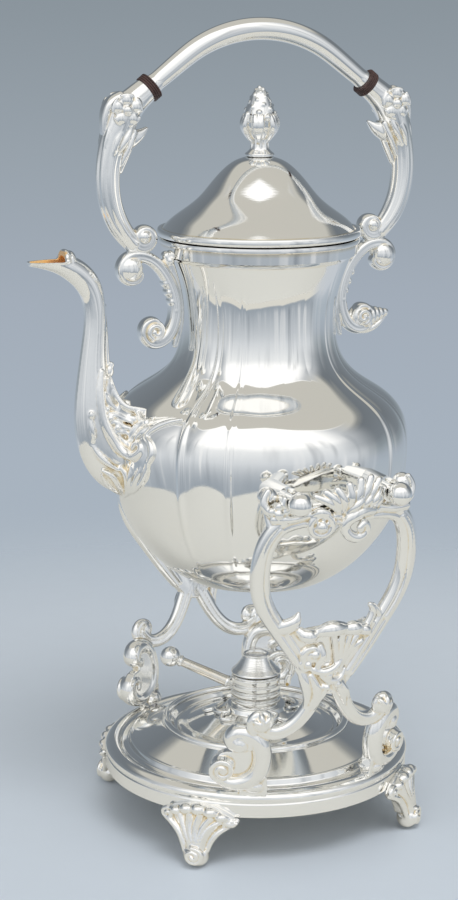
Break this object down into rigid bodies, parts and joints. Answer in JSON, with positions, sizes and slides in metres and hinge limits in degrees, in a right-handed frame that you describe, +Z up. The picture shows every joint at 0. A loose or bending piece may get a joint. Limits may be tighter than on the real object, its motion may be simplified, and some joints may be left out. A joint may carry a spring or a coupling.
{
  "type": "spirit kettle on stand",
  "caption": "Lobed silver-plated swan-neck kettle with hinged lid that tilts on two cast scroll frames over a lift-out spirit lamp on a round footed base.",
  "frame": {"origin": "on the kettle's vertical axis at table level, in the plane of the flats under the four feet", "axes": "+Z up along the kettle's axis; the spout points to -X and the handle stands in the XZ plane; the cast frames stand at -Y (front) and +Y (back)"},
  "size_m": [0.1984, 0.2072, 0.3891],
  "materials": {
    "silver_plate": "silver plated, polished, lightly tarnished in the recesses",
    "composition": "satin",
    "steel": "bright",
    "cotton": "matt",
    "brass": "satin"
  },
  "bodies": {
    "stand": {"base_plate": "silver_plate", "lamp_ring": "silver_plate", "foot_front_left": "silver_plate", "foot_front_right": "silver_plate", "foot_back_left": "silver_plate", "foot_back_right": "silver_plate", "frame_front": "silver_plate", "frame_back": "silver_plate", "frame_screws": "steel"},
    "tilt_pins": {"tilt_trunnions": "silver_plate"},
    "kettle": {"kettle_body": "silver_plate", "kettle_bottom": "silver_plate", "spout": "silver_plate", "bracket_left": "silver_plate", "bracket_right": "silver_plate", "handle_arm_left": "silver_plate", "handle_arm_right": "silver_plate", "insulator_left": "composition", "insulator_right": "composition", "handle_grip": "silver_plate", "handle_cross_pins": "steel", "trunnion_lugs": "silver_plate", "rest_trunnions": "silver_plate", "body_hinge_leaf": "silver_plate", "lid_hinge_pin": "brass"},
    "lid": {"lid": "silver_plate", "finial": "silver_plate", "finial_stud": "brass", "finial_nut": "brass", "lid_hinge_leaf": "silver_plate"},
    "lamp": {"lamp_font": "silver_plate", "burner_collar": "silver_plate", "wick_tube": "brass", "wick": "cotton", "lamp_handle": "silver_plate", "lamp_ball": "silver_plate", "snuffer_pin": "brass"},
    "snuffer": {"snuffer_cap": "silver_plate", "snuffer_arm": "silver_plate"}
  },
  "joints": [
    {"name": "kettle_lift", "type": "slide", "parent": "stand", "child": "tilt_pins", "axis": [0, 0, 1], "range_m": [0, 0.025]},
    {"name": "kettle_tilt", "type": "hinge", "parent": "tilt_pins", "child": "kettle", "pos_m": [-0.0248, 0, 0.182], "axis": [0, -1, 0], "range_deg": [0, 60]},
    {"name": "lid_hinge", "type": "hinge", "parent": "kettle", "child": "lid", "pos_m": [0, 0.0514, 0.288], "axis": [-1, 0, 0], "range_deg": [0, 105]},
    {"name": "lamp_lift", "type": "slide", "parent": "stand", "child": "lamp", "axis": [0, 0, 1], "range_m": [0, 0.018]},
    {"name": "snuffer_hinge", "type": "hinge", "parent": "lamp", "child": "snuffer", "pos_m": [0.01414, -0.00659, 0.0645], "axis": [0.4226, 0.9063, 0], "range_deg": [0, 110]}
  ]
}
